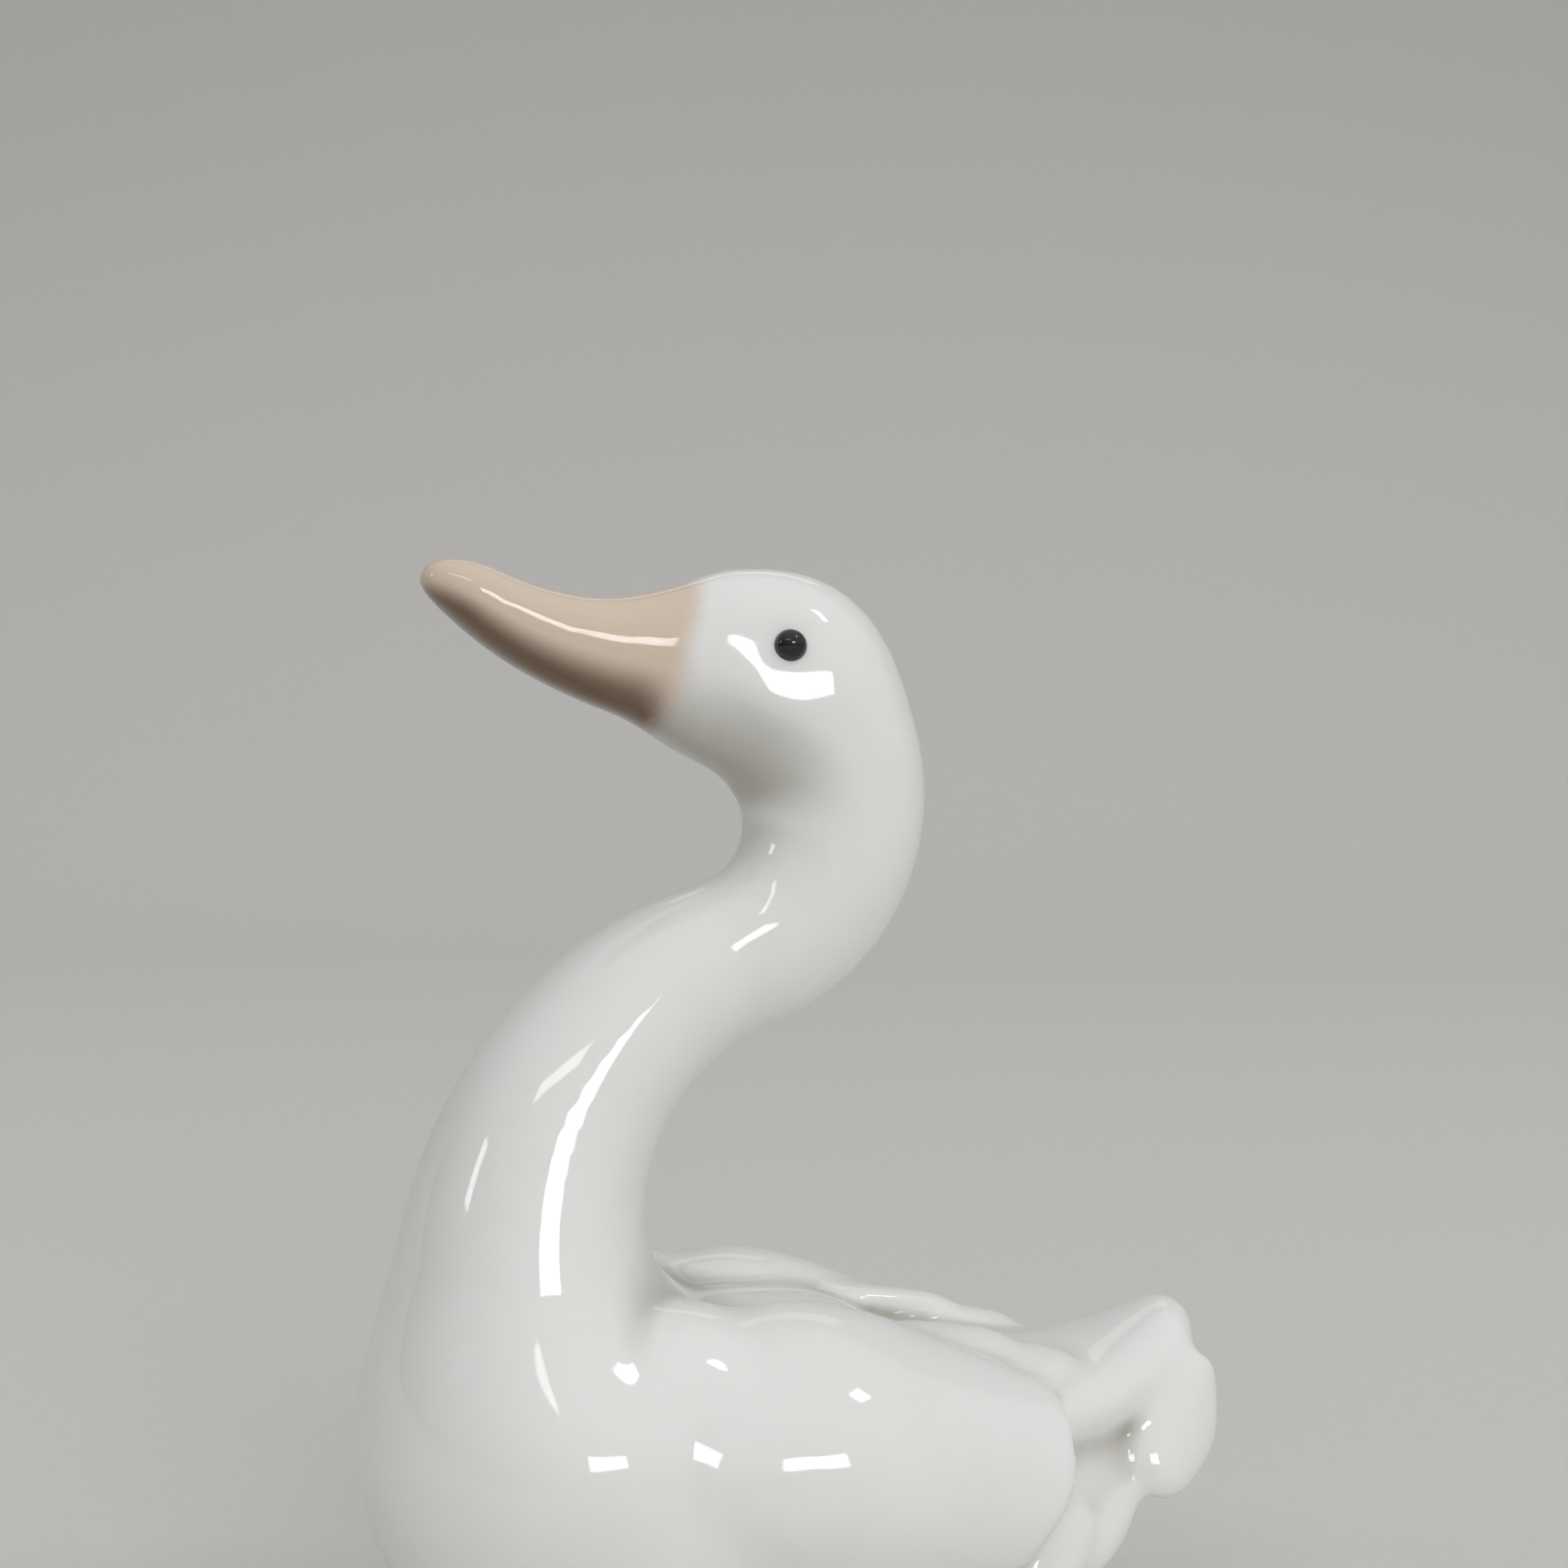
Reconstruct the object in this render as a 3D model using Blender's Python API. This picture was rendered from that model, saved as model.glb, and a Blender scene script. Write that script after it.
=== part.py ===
# Porcelain duck: a long-necked white duck looking up, slip-cast in one hollow piece and glazed.
# Metres, +Z up. The duck faces -Y, its left side is +X, and it stands on the plane z = 0.

import math

import bmesh
import bpy
from mathutils import Vector

MM = 0.001

# Breast: the tall egg that stands on the foot and carries the neck
FOOT_AHEAD = 11.1 * MM
FOOT_DROP = 9.0 * MM  # the breast starts this far below the ground, which cuts it flat
BREAST_LEAN = 23.0
BREAST_BASE_DEPTH = 26.0 * MM
BREAST_BASE_WIDTH = 26.0 * MM
BELLY_HEIGHT = 14.0 * MM
BELLY_DEPTH = 33.6 * MM
BELLY_WIDTH = 42.0 * MM
BREAST_HEIGHT = 31.0 * MM
BREAST_DEPTH = 39.1 * MM

# Neck: thicknesses, and the two bends of its S
NECK_ROOT_HEIGHT = 47.5 * MM
NECK_ROOT_LEAN = -2.2
NECK_ROOT_THICKNESS = 24.1 * MM
NECK_ROOT_WIDTH = 32.0 * MM
LOWER_BEND_RADIUS = 30.2 * MM
LOWER_BEND_ANGLE = 65.1
WAIST_LENGTH = 4.45 * MM
WAIST_THICKNESS = 15.8 * MM
UPPER_BEND_RADIUS = 14.4 * MM
NAPE_ANGLE = 89.4
NAPE_THICKNESS = 19.7 * MM
THROAT_RADIUS = 4.4 * MM  # the skin in front keeps this far from the middle of the upper bend

WAIST_LEG = 4  # place of the waist and the crown in the list of legs, counted from 0
CROWN_LEG = 6

# Head and bill, on the end of the upper bend
CROWN_ANGLE = 32.4
HEAD_HEIGHT = 24.6 * MM
HEAD_WIDTH = 19.6 * MM
BROW_ANGLE = 29.1
BROW_HEIGHT = 19.2 * MM
BROW_WIDTH = 15.6 * MM
BILL_ROOT_LENGTH = 8.9 * MM
BILL_ROOT_HEIGHT = 11.8 * MM
BILL_ROOT_WIDTH = 12.0 * MM
BILL_CURVE_LENGTH = 14.6 * MM
BILL_CURVE_ANGLE = 25.4
BILL_HEIGHT = 6.4 * MM
BILL_WIDTH = 9.4 * MM
BILL_END_LENGTH = 6.7 * MM
BILL_END_ANGLE = -17.6
BILL_END_HEIGHT = 5.1 * MM
BILL_END_WIDTH = 8.4 * MM
BILL_ROUNDING = 6.6 * MM

# Eye beads, standing out of the sides of the head
EYE_DIAMETER = 3.3 * MM
EYE_PAST_CROWN = 2.9 * MM
EYE_UP_ANGLE = 16.0
EYE_SINK = 0.5 * MM

# Body: the egg behind the breast, narrowing to the rump
BODY_START = -27.0 * MM
BODY_WIDTH = 49.0 * MM
BODY_MIDDLE = 2.0 * MM
BODY_FRONT_WIDTH = 37.0 * MM
BODY_FRONT_DEPTH = 34.0 * MM
BODY_FRONT_LIFT = 4.0 * MM
BACK_HEIGHT = 40.3 * MM
BODY_CENTRE_HEIGHT = 18.8 * MM
RUMP_START = 19.0 * MM
RUMP_WIDTH = 32.0 * MM
RUMP_DEPTH = 24.0 * MM
RUMP_DROP = 2.0 * MM  # the rump's top below the tail ridge's
BODY_END = 38.0 * MM
BODY_END_WIDTH = 16.0 * MM
BODY_END_DEPTH = 16.0 * MM
BODY_END_DROP = 4.0 * MM
BODY_END_ROUNDING = 6.0 * MM

# Tail ridge: from between the wings back and up to the tail's round end
RIDGE_START = 4.0 * MM
RIDGE_START_WIDTH = 34.0 * MM
RIDGE_START_TOP = 37.5 * MM
RIDGE_START_DEPTH = 16.0 * MM
RIDGE_MIDDLE = 29.0 * MM
RIDGE_WIDTH = 23.0 * MM
RIDGE_TOP = 33.9 * MM
RIDGE_DEPTH = 10.0 * MM
RIDGE_END = 44.5 * MM
RIDGE_END_WIDTH = 9.0 * MM
RIDGE_END_TOP = 38.8 * MM
RIDGE_END_DEPTH = 10.0 * MM
RIDGE_ROUNDING = 5.0 * MM

# Wings: plump ovals from the shoulder to a slanted trailing edge, which is cupped behind its lip
WING_START = -31.0 * MM
WING_TIP_SIDE = 10.0 * MM
WING_TIP_THICKNESS = 8.0 * MM
SHOULDER_SIDE = 13.5 * MM
SHOULDER_THICKNESS = 19.0 * MM
SHOULDER_DEPTH = 22.4 * MM
SHOULDER_LIFT = 0.3 * MM
WING_MIDDLE = 0.0 * MM
WING_END = 21.0 * MM
WING_OUTSET = 1.0 * MM  # how far the wing stands out of the body's side
WING_HEIGHT = 30.0 * MM
WING_THICKNESS = 21.5 * MM
WING_DEPTH = 26.6 * MM
WING_TILT = 26.0
WING_TAPER = 0.15  # the oval is narrower above its middle by this share
WING_MIDDLE_SLANT = 0.33  # share of the trailing edge's slant reached at the wing's middle
WING_END_SIDE = 17.0 * MM
WING_END_HEIGHT = 25.5 * MM
WING_END_THICKNESS = 8.0 * MM
WING_END_DEPTH = 17.5 * MM
WING_SLANT = 30.0
WING_EDGE_ROUND = 9.0 * MM  # radius of the trailing edge, seen from the side
WING_LIP = 1.5 * MM
WING_CUP_DEPTH = 2.0 * MM

# Folded flight feathers, from under the wings over the rump: how far back each pair reaches
FLIGHT_REACHES = (21.0 * MM, 28.0 * MM)
FLIGHT_LENGTH = 20.0 * MM
FLIGHT_WIDTH = 10.0 * MM
FLIGHT_THICKNESS = 3.2 * MM
FLIGHT_ROOT_SIDE = 12.0 * MM
FLIGHT_TIP_SIDE = 7.0 * MM
FLIGHT_LIFT = 1.3 * MM  # tip of the front pair above the rump's top
FLIGHT_ROOT_LIFT = 3.0 * MM
FLIGHT_FALL = 0.35
FLIGHT_CUP = 0.5 * MM

# Tail petals of one side, in mm: where each starts and ends, as out from the middle, behind the
# ridge's middle and below its top, then width, thickness, cup and the way it faces
TAIL_PETALS = (
    ((4.5, 15.8, 2.9), (10.5, 4.5, 14.1), 12.0, 4.0, 1.0, (1.0, 0.25, 0.2)),
    ((9.0, 3.5, 12.9), (13.0, -4.8, 19.9), 6.5, 4.5, 0.5, (1.0, 0.3, 0.1)),
    ((12.5, -3.5, 14.2), (17.0, -11.5, 21.2), 7.5, 4.5, 0.5, (1.0, 0.3, 0.1)),
)
REAR_PETAL = ((0.0, 12.0, 1.9), (0.0, 5.0, 15.9), 16.0, 4.5, 0.5, (0.0, 1.0, 0.2))
PETAL_ROOT_SHARE = 0.35  # width at the root, as a share of the full width
PETAL_FULL_AT = 0.5  # how far along the petal is widest
PETAL_ROUND_SHARE = 0.8
PETAL_THIN_SHARE = 0.25

# Hollow of the casting
WALL = 3.0 * MM
VENT_DIAMETER = 4.0 * MM
VENT_AHEAD = 9.0 * MM  # from the origin, towards the breast

# Mesh
RING_SIDES = 40
RING_SPACING = 1.5 * MM
VOXEL = 0.7 * MM
SMOOTHING_ROUNDS = 6
SKIN_RATIO = 0.06
HOLLOW_VOXEL = 1.4 * MM
HOLLOW_ROUNDS = 4
HOLLOW_RATIO = 0.25


def clear_scene():
    for item in list(bpy.data.objects):
        bpy.data.objects.remove(item, do_unlink=True)


def blend(knots, place):
    # smooth curve through (place, value) knots, flat past both ends
    places = [knot[0] for knot in knots]
    values = [knot[1] for knot in knots]
    if place <= places[0]:
        return values[0]
    if place >= places[-1]:
        return values[-1]
    i = max(k for k in range(len(places) - 1) if places[k] <= place)
    slopes = []
    for k in (i, i + 1):
        low, high = max(k - 1, 0), min(k + 1, len(places) - 1)
        slopes.append((values[high] - values[low]) / (places[high] - places[low]))
    span = places[i + 1] - places[i]
    t = (place - places[i]) / span
    rise = values[i + 1] - values[i]
    bend = span * (slopes[0] * (1 - t) - slopes[1] * t) + rise * (2 * t - 1)
    return values[i] + rise * t + t * (1 - t) * bend


def rounding(distance, length):
    # share of the full section left this far from a rounded end
    if distance >= length:
        return 1.0
    return math.sqrt(max(1 - (1 - distance / length) ** 2, 0.0))


def loft(bm, length, section):
    # rings along a length, joined with faces and closed at both ends;
    # section gives the point for a distance along and a place on the unit circle
    count = max(int(length / RING_SPACING), 8)
    margin = 0.002
    loops = []
    for i in range(count + 1):
        share = margin + (1 - 2 * margin) * i / count
        ring = bmesh.ops.create_circle(bm, radius=1.0, segments=RING_SIDES)["verts"]
        for vert in ring:
            vert.co = section(share * length, vert.co.x, vert.co.y)
        loops.append(list({edge for vert in ring for edge in vert.link_edges}))
    for first, second in zip(loops, loops[1:]):
        bmesh.ops.bridge_loops(bm, edges=first + second)
    for loop in (loops[0], loops[-1]):
        bmesh.ops.contextual_create(bm, geom=loop)


def neck_legs():
    # legs of the line from the foot to the tip of the bill:
    # length, turn in degrees, and the section's depth and width at the leg's end
    climb = math.cos(math.radians(BREAST_LEAN))
    upper = math.radians(1) * UPPER_BEND_RADIUS
    lower = math.radians(1) * LOWER_BEND_RADIUS
    root_length = NECK_ROOT_HEIGHT - BREAST_HEIGHT
    root_turn = NECK_ROOT_LEAN - BREAST_LEAN
    return (
        ((FOOT_DROP + BELLY_HEIGHT) / climb, 0.0, BELLY_DEPTH, BELLY_WIDTH),
        ((BREAST_HEIGHT - BELLY_HEIGHT) / climb, 0.0, BREAST_DEPTH, BODY_WIDTH),
        (root_length, root_turn, NECK_ROOT_THICKNESS, NECK_ROOT_WIDTH),
        (lower * LOWER_BEND_ANGLE, -LOWER_BEND_ANGLE, WAIST_THICKNESS, WAIST_THICKNESS),
        (WAIST_LENGTH, 0.0, WAIST_THICKNESS, WAIST_THICKNESS),
        (upper * NAPE_ANGLE, NAPE_ANGLE, NAPE_THICKNESS, NAPE_THICKNESS),
        (upper * CROWN_ANGLE, CROWN_ANGLE, HEAD_HEIGHT, HEAD_WIDTH),
        (upper * BROW_ANGLE, BROW_ANGLE, BROW_HEIGHT, BROW_WIDTH),
        (BILL_ROOT_LENGTH, 0.0, BILL_ROOT_HEIGHT, BILL_ROOT_WIDTH),
        (BILL_CURVE_LENGTH, -BILL_CURVE_ANGLE, BILL_HEIGHT, BILL_WIDTH),
        (BILL_END_LENGTH, -BILL_END_ANGLE, BILL_END_HEIGHT, BILL_END_WIDTH),
    )


def neck_point(distance):
    # centre of the neck line and its direction, this far up from the foot
    heading = math.radians(90.0 + BREAST_LEAN)
    centre = Vector((0.0, -FOOT_AHEAD - FOOT_DROP / math.tan(heading), -FOOT_DROP))
    for length, turn, _, _ in neck_legs():
        step = min(distance, length)
        swing = math.radians(turn) * step / length
        chord = step * math.sin(swing / 2) / (swing / 2) if swing else step
        centre += chord * Vector((0.0, math.cos(heading + swing / 2), math.sin(heading + swing / 2)))
        heading += swing
        distance -= step
        if distance <= 0:
            break
    return centre, heading


def neck_length():
    return sum(leg[0] for leg in neck_legs())


def neck_section(distance, inset):
    # half depth behind the line, half depth in front of it and half width of its section
    behind = [(0.0, BREAST_BASE_DEPTH / 2)]
    front = [(0.0, BREAST_BASE_DEPTH / 2)]
    widths = [(0.0, BREAST_BASE_WIDTH / 2)]
    place = 0.0
    for i, (length, _, depth, width) in enumerate(neck_legs()):
        place += length
        limit = UPPER_BEND_RADIUS - THROAT_RADIUS if i > WAIST_LEG else depth
        behind.append((place, depth / 2))
        front.append((place, min(depth / 2, limit)))
        widths.append((place, width / 2))
    return [blend(knots, distance) - inset for knots in (behind, front, widths)]


def neck_surface(distance, across, out, inset=0.0):
    # point of the skin: across is +1 on the duck's left, out is +1 on the neck's back
    centre, heading = neck_point(distance)
    behind, front, half_width = neck_section(distance, inset)
    back = Vector((0.0, math.sin(heading), -math.cos(heading)))
    return centre + Vector((half_width * across, 0.0, 0.0)) + back * out * (behind if out > 0 else front)


def crown_distance():
    return sum(leg[0] for leg in neck_legs()[: CROWN_LEG + 1])


def neck_and_breast(bm):
    total = neck_length()

    def section(distance, c, s):
        centre, _ = neck_point(distance)
        share = rounding(total - distance, BILL_ROUNDING)
        return centre + (neck_surface(distance, c, s) - centre) * share

    loft(bm, total, section)


def sleeve(bm, knots, rounding_length, inset=0.0):
    # tube along y through knots of y, height of the top, depth and width, closed with a round end
    start, end = knots[0][0], knots[-1][0]

    def section(distance, c, s):
        y = start + distance
        top, depth, width = [blend([(knot[0], knot[i]) for knot in knots], y) for i in (1, 2, 3)]
        share = rounding(end - y, rounding_length)
        half_depth = (depth / 2 - inset) * share
        return Vector(((width / 2 - inset) * share * c, y, top - depth / 2 + half_depth * s))

    loft(bm, end - start, section)


def body(bm, end=BODY_END, inset=0.0):
    front_top = BODY_CENTRE_HEIGHT + BODY_FRONT_LIFT + BODY_FRONT_DEPTH / 2
    belly_depth = 2 * (BACK_HEIGHT - BODY_CENTRE_HEIGHT)
    rump_top = RIDGE_TOP - RUMP_DROP
    knots = [
        (BODY_START, front_top, BODY_FRONT_DEPTH, BODY_FRONT_WIDTH),
        (BODY_MIDDLE, BACK_HEIGHT, belly_depth, BODY_WIDTH),
        (RUMP_START, rump_top, RUMP_DEPTH, RUMP_WIDTH),
    ]
    if end > RUMP_START:
        knots.append((end, RIDGE_TOP - BODY_END_DROP, BODY_END_DEPTH, BODY_END_WIDTH))
    sleeve(bm, knots, BODY_END_ROUNDING, inset)


def tail_ridge(bm):
    knots = (
        (RIDGE_START, RIDGE_START_TOP, RIDGE_START_DEPTH, RIDGE_START_WIDTH),
        (RIDGE_MIDDLE, RIDGE_TOP, RIDGE_DEPTH, RIDGE_WIDTH),
        (RIDGE_END, RIDGE_END_TOP, RIDGE_END_DEPTH, RIDGE_END_WIDTH),
    )
    sleeve(bm, knots, RIDGE_ROUNDING)


def wing_section(y):
    # middle's distance out and height, half thickness, half depth and share of the slant at this y
    shoulder = (WING_START + WING_MIDDLE) / 2
    side = BODY_WIDTH / 2 + WING_OUTSET - WING_THICKNESS / 2
    top = WING_HEIGHT + SHOULDER_LIFT
    knots = (
        (WING_START, WING_TIP_SIDE, top + SHOULDER_LIFT, WING_TIP_THICKNESS, WING_TIP_THICKNESS, 0.0),
        (shoulder, SHOULDER_SIDE, top, SHOULDER_THICKNESS, SHOULDER_DEPTH, 0.0),
        (WING_MIDDLE, side, WING_HEIGHT, WING_THICKNESS, WING_DEPTH, WING_MIDDLE_SLANT),
        (WING_END, WING_END_SIDE, WING_END_HEIGHT, WING_END_THICKNESS, WING_END_DEPTH, 1.0),
    )
    out, up, thick, deep, slant = [blend([(knot[0], knot[i]) for knot in knots], y) for i in range(1, 6)]
    return out, up, thick / 2, deep / 2, slant


def wing(bm, side):
    tilt = math.radians(WING_TILT)
    slope = math.tan(math.radians(WING_SLANT))
    length = WING_END - WING_START

    def section(distance, c, s):
        past = max(distance - length, 0.0)
        y = WING_START + min(distance, length)
        out, up, thick, deep, slant = wing_section(y)
        share = (1 - WING_LIP / thick) * rounding(WING_CUP_DEPTH - past, WING_CUP_DEPTH) if past else 1.0
        across = thick * c * share * (1 - WING_TAPER * s)
        height = deep * s * share
        x = out + across * math.cos(tilt) - height * math.sin(tilt)
        rise = height * math.cos(tilt) + across * math.sin(tilt)
        back = slant * (rise * slope - rise * rise / (2 * WING_EDGE_ROUND))
        return Vector((side * x, y + back - past, up + rise))

    loft(bm, length + WING_CUP_DEPTH, section)


def petal(bm, root, tip, width, thickness, cup, facing):
    # a feather: a flat tapered finger with a round tip, bowed towards the way it faces
    axis = tip - root
    facing = (facing - axis * facing.dot(axis) / axis.length_squared).normalized()
    across = axis.normalized().cross(facing)

    def section(distance, c, s):
        t = distance / axis.length
        swell = math.sin(math.pi / 2 * min(t / PETAL_FULL_AT, 1.0))
        spread = PETAL_ROOT_SHARE + (1 - PETAL_ROOT_SHARE) * swell
        wide = width / 2 * spread * rounding(1 - t, PETAL_ROUND_SHARE)
        thick = thickness / 2 * rounding(1 - t, PETAL_THIN_SHARE)
        bow = cup * (t * t - c * c / 2)
        return root + axis * t + across * wide * c + facing * (thick * s + bow)

    loft(bm, axis.length, section)


def flight_feathers(bm):
    for side in (-1, 1):
        for reach in FLIGHT_REACHES:
            top = RIDGE_TOP + FLIGHT_LIFT - (reach - FLIGHT_REACHES[0]) * FLIGHT_FALL
            root = Vector((side * FLIGHT_ROOT_SIDE, reach - FLIGHT_LENGTH, top + FLIGHT_ROOT_LIFT))
            tip = Vector((side * FLIGHT_TIP_SIDE, reach, top))
            face = Vector((side * FLIGHT_FALL, 0.0, 1.0))
            petal(bm, root, tip, FLIGHT_WIDTH, FLIGHT_THICKNESS, FLIGHT_CUP, face)


def tail_point(side, place):
    out, behind, below = place
    return Vector((side * out * MM, RIDGE_MIDDLE + behind * MM, RIDGE_TOP - below * MM))


def tail_petals(bm):
    for side in (-1, 0, 1):
        for start, end, width, thickness, cup, facing in TAIL_PETALS if side else (REAR_PETAL,):
            root = tail_point(side, start)
            tip = tail_point(side, end)
            face = Vector((side * facing[0], facing[1], facing[2]))
            petal(bm, root, tip, width * MM, thickness * MM, cup * MM, face)


def new_object(name, bm):
    mesh = bpy.data.meshes.new(name)
    bm.to_mesh(mesh)
    bm.free()
    item = bpy.data.objects.new(name, mesh)
    bpy.context.scene.collection.objects.link(item)
    return item


def make_cutter(item):
    item.hide_render = True
    item.display_type = "WIRE"
    return item


def add_remesh(item, voxel, rounds, ratio):
    remesh = item.modifiers.new("one skin", "REMESH")
    remesh.mode = "VOXEL"
    remesh.voxel_size = voxel
    remesh.use_smooth_shade = True
    smooth = item.modifiers.new("soft glaze", "SMOOTH")
    smooth.factor = 0.5
    smooth.iterations = round(rounds)
    thin = item.modifiers.new("fewer faces", "DECIMATE")
    thin.ratio = ratio


def add_boolean(item, name, operand, operation):
    boolean = item.modifiers.new(name, "BOOLEAN")
    boolean.solver = "EXACT"
    boolean.operation = operation
    boolean.object = operand


def ground_block(top):
    bm = bmesh.new()
    bmesh.ops.create_cube(bm, size=1.0)
    side = 4 * (BODY_END - BODY_START)
    for vert in bm.verts:
        vert.co = Vector((vert.co.x * side, vert.co.y * side, top + (vert.co.z - 0.5) * side))
    return make_cutter(new_object("ground_%d" % round(top / MM), bm))


def hollow():
    bm = bmesh.new()
    body(bm, RUMP_START, WALL)
    total = crown_distance()

    def section(distance, c, s):
        return neck_surface(distance, c, s, WALL)

    loft(bm, total, section)
    cavity = make_cutter(new_object("slip_hollow", bm))
    add_remesh(cavity, HOLLOW_VOXEL, HOLLOW_ROUNDS, HOLLOW_RATIO)
    add_boolean(cavity, "level inside", ground_block(WALL), "DIFFERENCE")
    return cavity


def vent():
    bm = bmesh.new()
    radius = VENT_DIAMETER / 2
    bmesh.ops.create_cone(bm, cap_ends=True, segments=24, radius1=radius, radius2=radius, depth=4 * WALL)
    bmesh.ops.translate(bm, vec=(0.0, -VENT_AHEAD, 0.0), verts=bm.verts)
    return make_cutter(new_object("vent_hole", bm))


def eyes():
    bm = bmesh.new()
    place = crown_distance() + EYE_PAST_CROWN
    up = math.radians(EYE_UP_ANGLE)
    for side in (-1, 1):
        ball = bmesh.ops.create_uvsphere(bm, u_segments=20, v_segments=12, radius=EYE_DIAMETER / 2)["verts"]
        spot = neck_surface(place, side * math.cos(up), math.sin(up), EYE_SINK)
        bmesh.ops.translate(bm, vec=spot, verts=ball)
    return make_cutter(new_object("eye_beads", bm))


def glazed_porcelain():
    material = bpy.data.materials.new("white glazed porcelain")
    material.use_nodes = True
    shader = material.node_tree.nodes["Principled BSDF"]
    shader.inputs["Base Color"].default_value = (0.82, 0.81, 0.78, 1.0)
    shader.inputs["Roughness"].default_value = 0.06
    shader.inputs["Metallic"].default_value = 0.0
    return material


def porcelain_duck():
    bm = bmesh.new()
    neck_and_breast(bm)
    body(bm)
    tail_ridge(bm)
    for side in (-1, 1):
        wing(bm, side)
    flight_feathers(bm)
    tail_petals(bm)
    bmesh.ops.recalc_face_normals(bm, faces=bm.faces)
    duck = new_object("porcelain_duck", bm)
    add_remesh(duck, VOXEL, SMOOTHING_ROUNDS, SKIN_RATIO)
    add_boolean(duck, "flat foot", ground_block(0.0), "DIFFERENCE")
    add_boolean(duck, "hollow", hollow(), "DIFFERENCE")
    add_boolean(duck, "vent", vent(), "DIFFERENCE")
    add_boolean(duck, "eye beads", eyes(), "UNION")
    duck.data.materials.append(glazed_porcelain())
    return duck


clear_scene()
porcelain_duck()
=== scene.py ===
# Porcelain duck for Blender 4.5: glazed skin, soft peach bill, enamel eye beads and a bare foot.

import math

import bmesh
import bpy
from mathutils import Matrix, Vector
from mathutils.kdtree import KDTree


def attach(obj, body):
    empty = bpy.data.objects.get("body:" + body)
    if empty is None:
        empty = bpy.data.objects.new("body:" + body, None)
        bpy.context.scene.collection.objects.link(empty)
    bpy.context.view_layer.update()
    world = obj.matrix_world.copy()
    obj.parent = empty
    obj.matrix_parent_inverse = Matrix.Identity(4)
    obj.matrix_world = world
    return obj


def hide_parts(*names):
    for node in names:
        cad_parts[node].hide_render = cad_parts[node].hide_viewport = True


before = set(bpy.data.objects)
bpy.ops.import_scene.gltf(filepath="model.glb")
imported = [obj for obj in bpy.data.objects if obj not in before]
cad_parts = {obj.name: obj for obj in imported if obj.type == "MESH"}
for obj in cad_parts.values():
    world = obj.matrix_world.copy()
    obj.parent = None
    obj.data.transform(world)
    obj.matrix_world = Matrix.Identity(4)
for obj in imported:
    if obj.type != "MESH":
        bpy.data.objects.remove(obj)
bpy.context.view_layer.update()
mm = 0.001


# helpers shared by the pieces
def hexColour(code):
    # sRGB hex to linear
    parts = [int(code[i:i + 2], 16) / 255 for i in (1, 3, 5)]
    return tuple(p / 12.92 if p < 0.04045 else ((p + 0.055) / 1.055) ** 2.4 for p in parts) + (1.0,)


def blend(knots, place):
    # smooth curve through (place, value) knots, flat past both ends
    places = [knot[0] for knot in knots]
    values = [knot[1] for knot in knots]
    if place <= places[0]:
        return values[0]
    if place >= places[-1]:
        return values[-1]
    i = max(k for k in range(len(places) - 1) if places[k] <= place)
    slopes = []
    for k in (i, i + 1):
        low, high = max(k - 1, 0), min(k + 1, len(places) - 1)
        slopes.append((values[high] - values[low]) / (places[high] - places[low]))
    span = places[i + 1] - places[i]
    t = (place - places[i]) / span
    rise = values[i + 1] - values[i]
    bow = span * (slopes[0] * (1 - t) - slopes[1] * t) + rise * (2 * t - 1)
    return values[i] + rise * t + t * (1 - t) * bow


def rounding(distance, length):
    # share of the full section left this far from a rounded end
    if distance >= length:
        return 1.0
    return math.sqrt(max(1 - (1 - distance / length) ** 2, 0.0))


def loft(bm, length, section, spacing=0.8 * mm, sides=72):
    # rings of points along a length, bridged into a tube and closed at both ends
    count = max(int(length / spacing), 12)
    loops = []
    for i in range(count + 1):
        share = 0.002 + 0.996 * i / count  # the end rings keep a little size for the caps
        ring = bmesh.ops.create_circle(bm, radius=1.0, segments=sides)["verts"]
        for vert in ring:
            vert.co = section(share * length, vert.co.x, vert.co.y)
        loops.append(list({edge for vert in ring for edge in vert.link_edges}))
    for first, second in zip(loops, loops[1:]):
        bmesh.ops.bridge_loops(bm, edges=first + second)
    for loop in (loops[0], loops[-1]):
        bmesh.ops.contextual_create(bm, geom=loop)


def newPiece(name, bm):
    mesh = bpy.data.meshes.new(name)
    bm.to_mesh(mesh)
    bm.free()
    piece = bpy.data.objects.new(name, mesh)
    bpy.context.scene.collection.objects.link(piece)
    return piece


def bakeModifiers(piece):
    # the modifiers' result becomes the piece's own mesh
    shaped = piece.evaluated_get(bpy.context.evaluated_depsgraph_get())
    mesh = bpy.data.meshes.new_from_object(shaped)
    piece.modifiers.clear()
    piece.data = mesh
    return piece


# neck, head and bill
neckSizes = dict(footAhead=11.1, footDrop=9.0, breastLean=23.0, baseDepth=26.0, baseWidth=26.0,
                 upperBend=14.4, lowerBend=30.2, throatRadius=4.4, billRounding=6.6,
                 billSquareness=0.3)  # mm and degrees

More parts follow.
